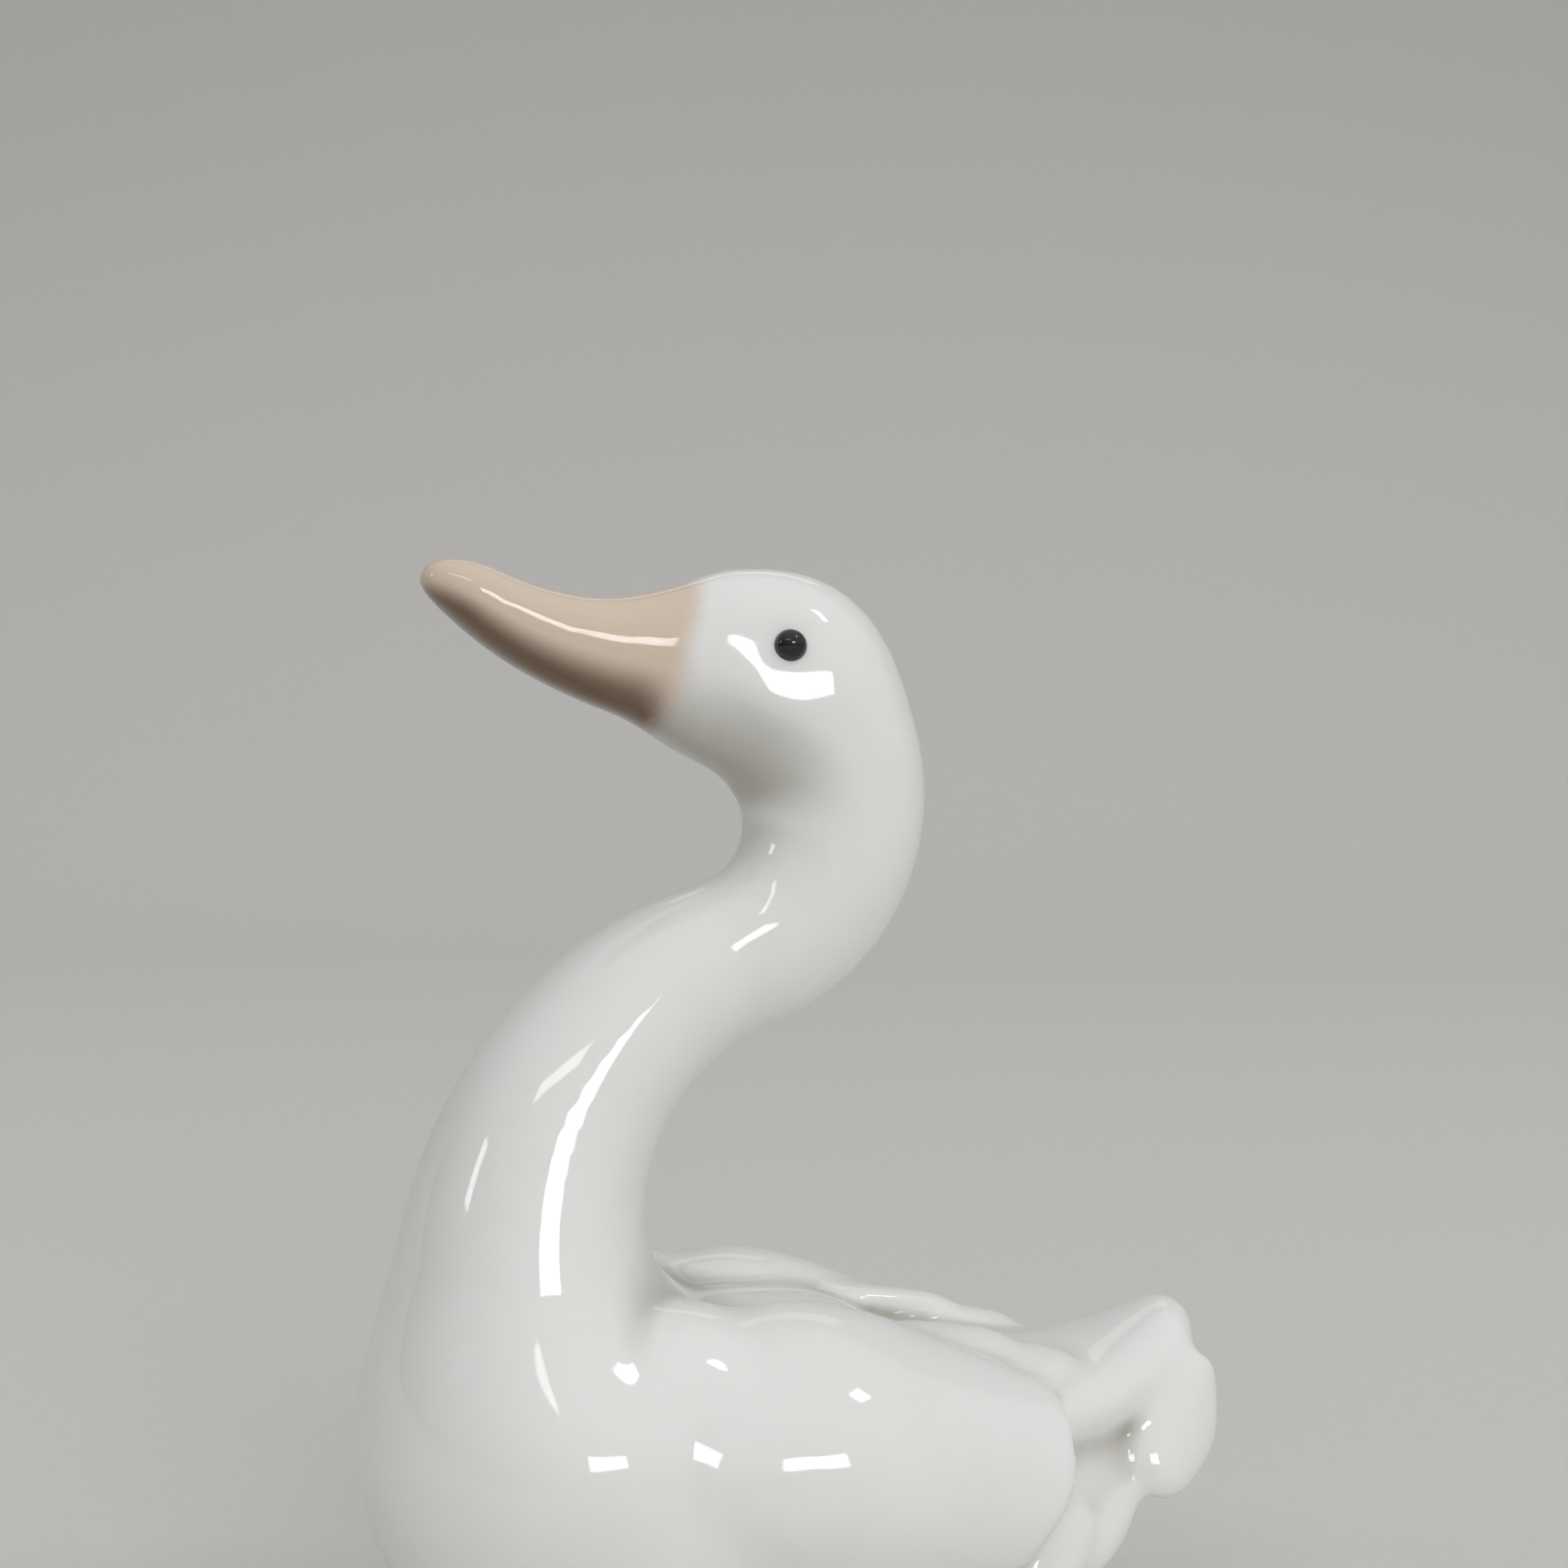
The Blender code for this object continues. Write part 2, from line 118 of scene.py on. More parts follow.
neckLegs = [  # from the foot up: length or radius (mm), turn (degrees), then depth and width at the end
    dict(name="belly", rise=23.0, turn=0.0, depth=33.6, width=42.0),
    dict(name="breast", rise=17.0, turn=0.0, depth=39.1, width=49.0),
    dict(name="neck root", length=16.5, turn=-25.2, depth=24.1, width=32.0),
    dict(name="lower bend", bend=neckSizes["lowerBend"], turn=-65.1, depth=15.8, width=15.8),
    dict(name="waist", length=4.45, turn=0.0, depth=15.8, width=15.8),
    dict(name="nape", bend=neckSizes["upperBend"], turn=89.4, depth=19.7, width=19.7),
    dict(name="crown", bend=neckSizes["upperBend"], turn=32.4, depth=24.6, width=19.6),
    dict(name="brow", bend=neckSizes["upperBend"], turn=29.1, depth=19.2, width=15.6),
    dict(name="bill root", length=8.9, turn=0.0, depth=11.8, width=12.0),
    dict(name="bill", length=14.6, turn=-25.4, depth=6.6, width=9.4),
    dict(name="bill end", length=6.9, turn=17.6, depth=5.3, width=8.4),
]

for leg in neckLegs:
    if "rise" in leg:
        leg["length"] = leg["rise"] / math.cos(math.radians(neckSizes["breastLean"]))
    if "bend" in leg:
        leg["length"] = leg["bend"] * math.radians(abs(leg["turn"]))

waistLegs, crownLegs, browLegs = 5, 7, 8  # legs up to the end of the waist, the crown and the brow
neckTotal = sum(leg["length"] for leg in neckLegs) * mm
crownAt = sum(leg["length"] for leg in neckLegs[:crownLegs]) * mm
billAt = sum(leg["length"] for leg in neckLegs[:browLegs]) * mm


def neckPoint(distance):
    # middle of the neck line and its direction, this far up from the foot
    heading = math.radians(90.0 + neckSizes["breastLean"])
    drop = neckSizes["footDrop"] * mm
    middle = Vector((0.0, -neckSizes["footAhead"] * mm - drop / math.tan(heading), -drop))
    for leg in neckLegs:
        length = leg["length"] * mm
        step = min(distance, length)
        swing = math.radians(leg["turn"]) * step / length
        chord = step * math.sin(swing / 2) / (swing / 2) if swing else step
        middle += chord * Vector((0.0, math.cos(heading + swing / 2), math.sin(heading + swing / 2)))
        heading += swing
        distance -= step
        if distance <= 0:
            break
    return middle, heading


def neckSkin(distance, across, out):
    # point of the skin: across is +1 on the duck's left, out is +1 on the neck's back
    start = neckSizes["baseDepth"] / 2
    behind, front, widths = [(0.0, start)], [(0.0, start)], [(0.0, neckSizes["baseWidth"] / 2)]
    place = 0.0
    for i, leg in enumerate(neckLegs):
        place += leg["length"] * mm
        # inside the upper bend the throat keeps its own round, so the front can't reach the bend's middle
        limit = neckSizes["upperBend"] - neckSizes["throatRadius"] if i >= waistLegs else leg["depth"]
        behind.append((place, leg["depth"] / 2))
        front.append((place, min(leg["depth"] / 2, limit)))
        widths.append((place, leg["width"] / 2))
    middle, heading = neckPoint(distance)
    back = Vector((0.0, math.sin(heading), -math.cos(heading)))
    depth = blend(behind if out > 0 else front, distance) * mm
    # the bill's sides are flatter than an ellipse
    share = min(max((distance - crownAt) / (billAt - crownAt), 0.0), 1.0)
    across = math.copysign(abs(across) ** (1 - neckSizes["billSquareness"] * share), across)
    return middle + Vector((blend(widths, distance) * mm * across, 0.0, 0.0)) + back * out * depth


def makeNeck(bm):
    def section(distance, c, s):
        middle = neckPoint(distance)[0]
        share = rounding(neckTotal - distance, neckSizes["billRounding"] * mm)
        return middle + (neckSkin(distance, c, s) - middle) * share

    loft(bm, neckTotal, section)


def neckFinder():
    # a function that gives how far along the neck line a point lies, and how far out: -1 throat, +1 nape
    count = 500
    tree = KDTree(count)
    stations = []
    for i in range(count):
        distance = neckTotal * i / (count - 1)
        middle, heading = neckPoint(distance)
        back = Vector((0.0, math.sin(heading), -math.cos(heading)))
        depths = [(neckSkin(distance, 0.0, out) - middle).length for out in (1, -1)]
        stations.append((distance, middle, back, depths))
        tree.insert(middle, i)
    tree.balance()

    def find(point):
        distance, middle, back, depths = stations[tree.find(point)[1]]
        out = (point - middle).dot(back)
        return distance, out / (depths[0] if out > 0 else depths[1])

    return find


# body and tail ridge
bodyShape = dict(rounding=6.0, knots=[  # y, height of the top, depth, width (mm)
    (-27.0, 39.8, 34.0, 37.0),
    (2.0, 40.3, 43.0, 49.0),
    (19.0, 31.9, 24.0, 32.0),
    (38.0, 29.9, 16.0, 16.0),
])
ridgeShape = dict(rounding=5.0, knots=[
    (4.0, 37.5, 16.0, 34.0),
    (29.0, 33.9, 10.0, 23.0),
    (44.5, 38.8, 10.0, 9.0),
])


def makeSleeve(bm, shape):
    # tube along y, closed with a round end
    knots = shape["knots"]
    start, end = knots[0][0] * mm, knots[-1][0] * mm

    def section(distance, c, s):
        y = start + distance
        top, depth, width = [blend([(k[0] * mm, k[i] * mm) for k in knots], y) for i in (1, 2, 3)]
        share = rounding(end - y, shape["rounding"] * mm)
        return Vector((width / 2 * share * c, y, top - depth / 2 + depth / 2 * share * s))

    loft(bm, end - start, section)


# wings
wingSizes = dict(tilt=26.0, taper=0.15, slant=30.0, edgeRound=9.0, lip=1.2, cup=2.5)
wingKnots = [  # y, out from the middle, height, thickness, depth, share of the slant
    (-31.0, 10.0, 30.6, 8.0, 8.0, 0.0),
    (-15.5, 13.5, 30.3, 19.0, 22.4, 0.0),
    (0.0, 14.75, 30.0, 21.5, 26.6, 0.33),
    (21.0, 17.0, 25.5, 8.0, 17.5, 1.0),
]


def makeWing(bm, side):
    tilt, slope = math.radians(wingSizes["tilt"]), math.tan(math.radians(wingSizes["slant"]))
    start, cup = wingKnots[0][0] * mm, wingSizes["cup"] * mm
    length = (wingKnots[-1][0] - wingKnots[0][0]) * mm

    def section(distance, c, s):
        past = max(distance - length, 0.0)
        y = start + min(distance, length)
        out, up, thick, deep = [blend([(k[0] * mm, k[i] * mm) for k in wingKnots], y) for i in (1, 2, 3, 4)]
        slant = blend([(k[0] * mm, k[5]) for k in wingKnots], y)
        share = (1 - wingSizes["lip"] * mm / (thick / 2)) * rounding(cup - past, cup) if past else 1.0
        across, height = thick / 2 * c * share * (1 - wingSizes["taper"] * s), deep / 2 * s * share
        x = out + across * math.cos(tilt) - height * math.sin(tilt)
        rise = height * math.cos(tilt) + across * math.sin(tilt)
        back = slant * (rise * slope - rise * rise / (2 * wingSizes["edgeRound"] * mm))
        return Vector((side * x, y + back - past, up + rise))

    loft(bm, length + cup, section)


# full flanks, where the breast runs into the wings
flankSizes = dict(out=12.0, y=-16.0, height=24.0, thick=24.6, length=35.0, tall=40.0)


def makeFlank(bm, side):
    f = flankSizes
    ball = bmesh.ops.create_icosphere(bm, subdivisions=5, radius=0.5 * mm)["verts"]
    bmesh.ops.scale(bm, vec=(f["thick"], f["length"], f["tall"]), verts=ball)
    bmesh.ops.translate(bm, vec=(side * f["out"] * mm, f["y"] * mm, f["height"] * mm), verts=ball)


# folded flight feathers and tail
flightSizes = dict(reaches=(21.0, 28.0), length=20.0, width=10.0, thick=3.2, rootOut=12.0, tipOut=7.0,
                   top=35.2, rootLift=3.0, fall=0.35, cup=0.5)
petalShape = dict(root=0.35, fullAt=0.5, round=0.8, thin=0.25)
tailPetals = [  # for one side
    dict(root=(4.5, 43.4, 31.6), tip=(10.5, 33.8, 19.8), width=12.6, thick=4.0, cup=1.0,
         facing=(1.0, 0.25, 0.2)),
    dict(root=(9.0, 32.5, 21.0), tip=(13.0, 24.2, 14.0), width=6.5, thick=4.5, cup=0.5,
         facing=(1.0, 0.3, 0.1)),
    dict(root=(12.5, 25.5, 19.7), tip=(17.0, 17.5, 12.7), width=7.5, thick=4.5, cup=0.5,
         facing=(1.0, 0.3, 0.1)),
]
rearPetal = dict(root=(0.0, 41.0, 32.0), tip=(0.0, 34.0, 18.0), width=16.0, thick=4.5, cup=0.5,
                 facing=(0.0, 1.0, 0.2))


def makePetal(bm, side, root, tip, width, thick, cup, facing):
    # a feather: a flat tapered finger with a round tip, bowed towards the way it faces
    root, tip = Vector((side * root[0], root[1], root[2])) * mm, Vector((side * tip[0], tip[1], tip[2])) * mm
    axis = tip - root
    face = Vector((side * facing[0], facing[1], facing[2]))
    face = (face - axis * face.dot(axis) / axis.length_squared).normalized()
    across = axis.normalized().cross(face)

    def section(distance, c, s):
        t = distance / axis.length
        swell = math.sin(math.pi / 2 * min(t / petalShape["fullAt"], 1.0))
        wide = width * mm / 2 * (petalShape["root"] + (1 - petalShape["root"]) * swell)
        wide *= rounding(1 - t, petalShape["round"])
        flat = thick * mm / 2 * rounding(1 - t, petalShape["thin"])
        return root + axis * t + across * wide * c + face * (flat * s + cup * mm * (t * t - c * c / 2))

    loft(bm, axis.length, section)


def makeFeathers(bm):
    f = flightSizes
    for side in (-1, 1):
        for reach in f["reaches"]:
            top = f["top"] - (reach - f["reaches"][0]) * f["fall"]
            root = (f["rootOut"], reach - f["length"], top + f["rootLift"])
            makePetal(bm, side, root, (f["tipOut"], reach, top), f["width"], f["thick"], f["cup"],
                      (f["fall"], 0.0, 1.0))
        for petal in tailPetals:
            makePetal(bm, side, **petal)
    makePetal(bm, 1, **rearPetal)


# the whole skin
# the last two set the painted shade in the hollows: rounds of smoothing flat, and the depth in mm at which a
# hollow is fully shaded
skinSizes = dict(voxel=0.53, softening=10, shadeReach=360, shadeDepth=0.9)  # mm and rounds
softPlaces = dict(  # rounds of smoothing where the glaze lies thick
    # wings and tail, by y
    rear=dict(rounds=36, start=-3.0, full=9.0),
    # breast running into the wings, by height and y
    flank=dict(rounds=108, start=46.0, full=36.0, behind=-2.0, gone=6.0),
    # under the head, along the neck line
    throat=dict(rounds=58, before=9.0, past=3.0, out=0.35, fade=0.3, above=80.0),
)
footSizes = dict(lip=0.7, inset=0.35, flatFrom=5.0, ventDiameter=4.0, ventAhead=9.0, ventDepth=8.0)
eyeSizes = dict(diameter=3.2, pastCrown=2.9, up=16.0, sink=0.5, socketWidth=3.0, socketDepth=0.5)
# the last pair sets where the painted shade under the bill fades in
billEdge = dict(middle=4.4, lean=1.2, fade=1.5, waver=1.6, waverSize=5.0,
                shadeAlong=(-5.0, 4.0))  # mm along the bill from its root
# painted grey shade under the chin
chinShade = dict(before=17.0, full=7.0, outFrom=0.0, outFull=-0.95, share=0.9,
                 above=78.0)  # mm below the crown along the neck line
cheekSizes = dict(pastCrown=1.8, up=-5.5, length=5.5, height=3.8, turn=81.7, lift=9.0, press=0.2,
                  share=0.85, depth=1.5)  # flatter place under the eye


def headSpot(side, past, up, sink):
    up = math.radians(up)
    place = crownAt + past * mm
    spot = neckSkin(place, side * math.cos(up), math.sin(up))
    middle = neckPoint(place)[0]
    return spot - (spot - middle).normalized() * sink * mm


def eyeSpot(side, sink):
    return headSpot(side, eyeSizes["pastCrown"], eyeSizes["up"], sink)


def flattenCheek(bm, side):
    # press the skin towards a plane under the eye, fading out round it
    c = cheekSizes
    turn, lift = math.radians(c["turn"]), math.radians(c["lift"])
    level = math.cos(lift)
    facing = Vector((side * math.sin(turn) * level, -math.cos(turn) * level, math.sin(lift)))
    spot = headSpot(side, c["pastCrown"], c["up"], c["press"])
    for vert in bm.verts:
        away = vert.co - spot
        if away.length < 3 * c["length"] * mm:
            high = away.dot(facing)
            flat = away - facing * high
            reach = math.hypot(flat.y / (c["length"] * mm), flat.z / (c["height"] * mm))
            near = math.exp(-(high / (c["depth"] * mm)) ** 4)
            vert.co -= facing * high * near * math.exp(-reach ** 2) * c["share"]


def ramp(value, start, full):
    t = min(max((value - start) / (full - start), 0.0), 1.0)
    return t * t * (3 - 2 * t)


def softenPlaces(skin):
    find = neckFinder()
    soft = softPlaces
    groups = {name: skin.vertex_groups.new(name=name) for name in soft}
    for vert in skin.data.vertices:
        y, z = vert.co.y / mm, vert.co.z / mm
        shares = dict(rear=ramp(y, soft["rear"]["start"], soft["rear"]["full"]))
        flank = soft["flank"]
        shares["flank"] = ramp(z, flank["start"], flank["full"]) * ramp(y, flank["gone"], flank["behind"])
        throat = soft["throat"]
        if z > throat["above"]:
            distance, out = find(vert.co)
            inside = ramp(distance, crownAt - throat["before"] * mm, crownAt)
            inside *= ramp(distance, billAt + throat["past"] * mm, billAt)
            shares["throat"] = inside * ramp(out, throat["out"], throat["out"] - throat["fade"])
        for name, share in shares.items():
            if share > 0:
                groups[name].add([vert.index], share, "REPLACE")
    for name, place in soft.items():
        soften = skin.modifiers.new(name, "SMOOTH")
        soften.factor, soften.iterations, soften.vertex_group = 0.5, place["rounds"], name
    bakeModifiers(skin)


def pressSockets(bm, side):
    # a shallow dent round the eye bead
    spot = eyeSpot(side, 0.0)
    for vert in bm.verts:
        away = (vert.co - spot).length / (eyeSizes["socketWidth"] * mm)
        if away < 3:
            vert.co.x -= side * eyeSizes["socketDepth"] * mm * math.exp(-away * away)


def cutFoot(bm):
    # flat foot with a softened rim; its face takes the second material
    cut = bmesh.ops.bisect_plane(bm, geom=bm.verts[:] + bm.edges[:] + bm.faces[:], dist=0.0001 * mm,
                                 plane_co=(0, 0, 0), plane_no=(0, 0, -1), clear_outer=True)
    rim = [e for e in cut["geom_cut"] if isinstance(e, bmesh.types.BMEdge)]
    for face in bmesh.ops.contextual_create(bm, geom=rim)["faces"]:
        face.material_index = 1
    middle = Vector((0.0, -neckSizes["footAhead"] * mm, 0.0))
    lip = footSizes["lip"] * mm
    for vert in bm.verts:
        away = (vert.co - middle).to_2d()
        if vert.co.z < lip and away.length > footSizes["flatFrom"] * mm:
            pull = (1 - vert.co.z / lip) ** 2 * footSizes["inset"] * mm
            vert.co.xy = vert.co.xy - away.normalized() * pull


def boreVent(skin):
    # the firing vent up through the foot; its wall takes the third material
    bm = bmesh.new()
    radius = footSizes["ventDiameter"] / 2 * mm
    bmesh.ops.create_cone(bm, cap_ends=True, segments=32, radius1=radius, radius2=radius,
                          depth=footSizes["ventDepth"] * mm)
    bmesh.ops.translate(bm, vec=(0.0, -footSizes["ventAhead"] * mm, 0.0), verts=bm.verts)
    for face in bm.faces:
        face.material_index = 2
    cutter = newPiece("ventCutter", bm)
    vent = skin.modifiers.new("vent", "BOOLEAN")
    vent.solver, vent.operation, vent.object = "EXACT", "DIFFERENCE", cutter
    bakeModifiers(skin)
    bpy.data.objects.remove(cutter, do_unlink=True)


def makeSkin():
    bm = bmesh.new()
    makeNeck(bm)
    makeSleeve(bm, bodyShape)
    makeSleeve(bm, ridgeShape)
    for side in (-1, 1):
        makeWing(bm, side)
        makeFlank(bm, side)
    makeFeathers(bm)
    bmesh.ops.recalc_face_normals(bm, faces=bm.faces)
    skin = newPiece("duckSkin", bm)
    remesh = skin.modifiers.new("one skin", "REMESH")
    remesh.mode, remesh.voxel_size = "VOXEL", skinSizes["voxel"] * mm
    soften = skin.modifiers.new("soft glaze", "SMOOTH")
    soften.factor, soften.iterations = 0.5, skinSizes["softening"]
    bakeModifiers(skin)
    softenPlaces(skin)
    print("skin remeshed:", len(skin.data.polygons), "faces")

    bm = bmesh.new()
    bm.from_mesh(skin.data)
    for side in (-1, 1):
        pressSockets(bm, side)
        flattenCheek(bm, side)
    cutFoot(bm)
    bmesh.ops.recalc_face_normals(bm, faces=bm.faces)
    for face in bm.faces:
        face.smooth = face.material_index == 0
    bm.to_mesh(skin.data)
    bm.free()
    boreVent(skin)
    print("foot cut flat and vent bored")
    markHollowShade(skin)
    markBill(skin)
    return skin


def markHollowShade(skin):
    # how far each point lies in a hollow, from the same skin smoothed flat: 0 outside, 1 deep inside; this
    # sets the painted grey shade in the hollows
    smooth = skin.copy()
    smooth.data = skin.data.copy()
    bpy.context.scene.collection.objects.link(smooth)
    flatten = smooth.modifiers.new("flatten", "SMOOTH")
    flatten.factor, flatten.iterations = 0.5, skinSizes["shadeReach"]
    bakeModifiers(smooth)
    hollow = skin.data.attributes.new("hollow", "FLOAT", "POINT")
    for vert, flat, value in zip(skin.data.vertices, smooth.data.vertices, hollow.data):
        depth = (flat.co - vert.co).dot(vert.normal) / (skinSizes["shadeDepth"] * mm)
        value.value = min(max(depth, 0.0), 1.0)
    bpy.data.objects.remove(smooth, do_unlink=True)


def markBill(skin):
    # two values on each point: millimetres past the edge of the bill's colour, and how far on its underside,
    # where painted shade darkens the bill;
    # painted grey shade is also added under the chin, on top of the shade in the hollows
    find = neckFinder()
    past = skin.data.attributes.new("billPast", "FLOAT", "POINT").data
    undersideShade = skin.data.attributes.new("billShade", "FLOAT", "POINT").data
    paintedShade = skin.data.attributes["hollow"].data
    edge, chin = billEdge, chinShade
    for vert, pastValue, undersideShadeValue, shadeValue in zip(skin.data.vertices, past, undersideShade, paintedShade):
        pastValue.value, undersideShadeValue.value = -20.0, 0.0
        if vert.co.z > chin["above"] * mm:
            distance, out = find(vert.co)
            # painted grey shade under the chin, added to the painted shade of the hollows
            shade = ramp(distance, crownAt - chin["before"] * mm, crownAt - chin["full"] * mm)
            shade *= ramp(out, chin["outFrom"], chin["outFull"]) * chin["share"]
            shadeValue.value = max(shadeValue.value, shade)
            pastValue.value = (distance - billAt) / mm - edge["middle"] + edge["lean"] * out
            # how far on the underside, for the painted brown shade under the bill
            undersideShadeValue.value = -out * ramp(pastValue.value, *edge["shadeAlong"])


def makeEyes():
    bm = bmesh.new()
    for side in (-1, 1):
        radius = eyeSizes["diameter"] / 2 * mm
        ball = bmesh.ops.create_uvsphere(bm, u_segments=48, v_segments=32, radius=radius)["verts"]
        bmesh.ops.translate(bm, vec=eyeSpot(side, eyeSizes["sink"]), verts=ball)
    for face in bm.faces:
        face.smooth = True
    return newPiece("eyeBeads", bm)


# materials
def newMaterial(name):
    material = bpy.data.materials.new(name)
    material.use_nodes = True
    return material, material.node_tree, material.node_tree.nodes["Principled BSDF"]


def addNode(tree, kind, settings=None, values=None, links=None):
    # one node with its settings, socket values and incoming links
    node = tree.nodes.new(kind)
    for name, value in (settings or {}).items():
        setattr(node, name, value)
    for name, value in (values or {}).items():
        node.inputs[name].default_value = value
    for name, socket in (links or {}).items():
        tree.links.new(socket, node.inputs[name])
    return node


# the grey here is painted shade for the hollows and under the chin, and the dark brown is painted shade under
# the bill
glazeLook = dict(white="#F3F3F2", thick="#E9E9E6", paintedShade="#A3A092", peach="#DCCAB8", peachShade="#735C47",
                 shadeShare=0.8, shadeFrom=0.1, shadeFull=0.8, mottle=14.0, ripple=7.0, rippleHeight=0.03,
                 rippleShare=0.35, roughness=0.06, ior=1.52, glow=0.12, glowReach=1.2,
                 glowColours=(1.0, 0.9, 0.8))  # pattern sizes in mm


def glazedPorcelain():
    # white porcelain under a clear fired glaze: hard bright reflections over a faintly translucent body,
    # with the bill sprayed in a soft peach underglaze colour; painted shade darkens the bill towards its
    # underside
    material, tree, shader = newMaterial("white glazed porcelain")
    look, edge = glazeLook, billEdge
    twoColours, softRamp = {"data_type": "RGBA"}, {"interpolation_type": "SMOOTHSTEP"}
    place = addNode(tree, "ShaderNodeTexCoord").outputs["Object"]

    # glaze a touch thicker here and there, in patches about 14 mm across, and painted grey shade in the
    # hollows and under the chin
    mottle = addNode(tree, "ShaderNodeTexNoise", values={"Scale": 1 / (look["mottle"] * mm), "Detail": 3.0},
                     links={"Vector": place})
    body = addNode(tree, "ShaderNodeMix", twoColours,
                   {6: hexColour(look["white"]), 7: hexColour(look["thick"])},
                   {"Factor": mottle.outputs["Fac"]})
    hollow = addNode(tree, "ShaderNodeAttribute", {"attribute_name": "hollow"})
    shadeAmount = addNode(tree, "ShaderNodeMath", {"operation": "MULTIPLY"}, {1: look["shadeShare"]},
                      {0: hollow.outputs["Fac"]})
    paintedShade = addNode(tree, "ShaderNodeMix", twoColours, {7: hexColour(look["paintedShade"])},
                     {"Factor": shadeAmount.outputs["Value"], 6: body.outputs[2]})

    # the sprayed edge of the bill's colour wavers by about a millimetre
    waver = addNode(tree, "ShaderNodeTexNoise", values={"Scale": 1 / (edge["waverSize"] * mm), "Detail": 1.0},
                    links={"Vector": place})
    past = addNode(tree, "ShaderNodeAttribute", {"attribute_name": "billPast"})
    wavyPast = addNode(tree, "ShaderNodeMath", {"operation": "MULTIPLY_ADD"}, {1: edge["waver"]},
                       {0: waver.outputs["Fac"], 2: past.outputs["Fac"]})
    half = edge["waver"] / 2
    onBill = addNode(tree, "ShaderNodeMapRange", softRamp,
                     {"From Min": half - edge["fade"], "From Max": half + edge["fade"]},
                     {"Value": wavyPast.outputs["Value"]})

    # peach on top of the bill, painted brown shade underneath
    undersideShade = addNode(tree, "ShaderNodeAttribute", {"attribute_name": "billShade"})
    shaded = addNode(tree, "ShaderNodeMapRange", softRamp,
                     {"From Min": look["shadeFrom"], "From Max": look["shadeFull"]},
                     {"Value": undersideShade.outputs["Fac"]})
    bill = addNode(tree, "ShaderNodeMix", twoColours,
                   {6: hexColour(look["peach"]), 7: hexColour(look["peachShade"])},
                   {"Factor": shaded.outputs["Result"]})
    colour = addNode(tree, "ShaderNodeMix", twoColours,
                     links={"Factor": onBill.outputs["Result"], 6: paintedShade.outputs[2], 7: bill.outputs[2]})
    tree.links.new(colour.outputs[2], shader.inputs["Base Color"])

    # slow ripple of the glaze, about 7 mm long and a few hundredths of a mm high
    ripple = addNode(tree, "ShaderNodeTexNoise", values={"Scale": 1 / (look["ripple"] * mm), "Detail": 1.0},
                     links={"Vector": place})
    bump = addNode(tree, "ShaderNodeBump",
                   values={"Strength": look["rippleShare"], "Distance": look["rippleHeight"] * mm},
                   links={"Height": ripple.outputs["Fac"]})
    tree.links.new(bump.outputs["Normal"], shader.inputs["Normal"])
    shader.inputs["Roughness"].default_value = look["roughness"]
    shader.inputs["IOR"].default_value = look["ior"]
    shader.inputs["Subsurface Weight"].default_value = look["glow"]
    shader.inputs["Subsurface Radius"].default_value = look["glowColours"]
    shader.inputs["Subsurface Scale"].default_value = look["glowReach"] * mm
    return material


bisqueLook = dict(pale="#E6E1D6", dark="#D2CBBC", grit=0.6, gritHeight=0.03, gritShare=0.5, roughness=0.75)


def bareBisque():
    # unglazed fired clay of the foot, wiped clean before firing: matt, a little warmer, finely gritty
    material, tree, shader = newMaterial("bare bisque foot")
    look = bisqueLook
    place = addNode(tree, "ShaderNodeTexCoord").outputs["Object"]
    grit = addNode(tree, "ShaderNodeTexNoise", values={"Scale": 1 / (look["grit"] * mm), "Detail": 4.0},
                   links={"Vector": place})
    tint = addNode(tree, "ShaderNodeMix", {"data_type": "RGBA"},
                   {6: hexColour(look["pale"]), 7: hexColour(look["dark"])}, {"Factor": grit.outputs["Fac"]})
    tree.links.new(tint.outputs[2], shader.inputs["Base Color"])
    bump = addNode(tree, "ShaderNodeBump",
                   values={"Strength": look["gritShare"], "Distance": look["gritHeight"] * mm},
                   links={"Height": grit.outputs["Fac"]})
    tree.links.new(bump.outputs["Normal"], shader.inputs["Normal"])
    shader.inputs["Roughness"].default_value = look["roughness"]
    return material


enamelLook = dict(black="#0E0D0C", brown="#1A1613", cloud=1.2, roughness=0.05, ior=1.55)


def blackEnamel():
    # black fired enamel of the eye beads: deep, glassy, with the faintest brown unevenness
    material, tree, shader = newMaterial("black enamel bead")
    look = enamelLook
    place = addNode(tree, "ShaderNodeTexCoord").outputs["Object"]
    cloud = addNode(tree, "ShaderNodeTexNoise", values={"Scale": 1 / (look["cloud"] * mm), "Detail": 2.0},
                    links={"Vector": place})
    tint = addNode(tree, "ShaderNodeMix", {"data_type": "RGBA"},
                   {6: hexColour(look["black"]), 7: hexColour(look["brown"])},
                   {"Factor": cloud.outputs["Fac"]})
    tree.links.new(tint.outputs[2], shader.inputs["Base Color"])
    shader.inputs["Roughness"].default_value = look["roughness"]
    shader.inputs["IOR"].default_value = look["ior"]
    return material


# floor, light and camera
cameraView = dict(azimuth=72.0, distance=0.195, height=0.0904, aimY=-0.001,  # degrees and metres
                  frame=1932, focalPixels=2400.0, horizon=980.0, sensor=36.0)  # picture pixels, sensor in mm
floorSizes = dict(front=1.5, back=0.9, bend=0.9, bendSteps=16, rise=2.4, width=6.0)  # metres
paperLook = dict(pale="#DDDCDA", dark="#D7D6D3", fibre=2.5, roughness=0.9)


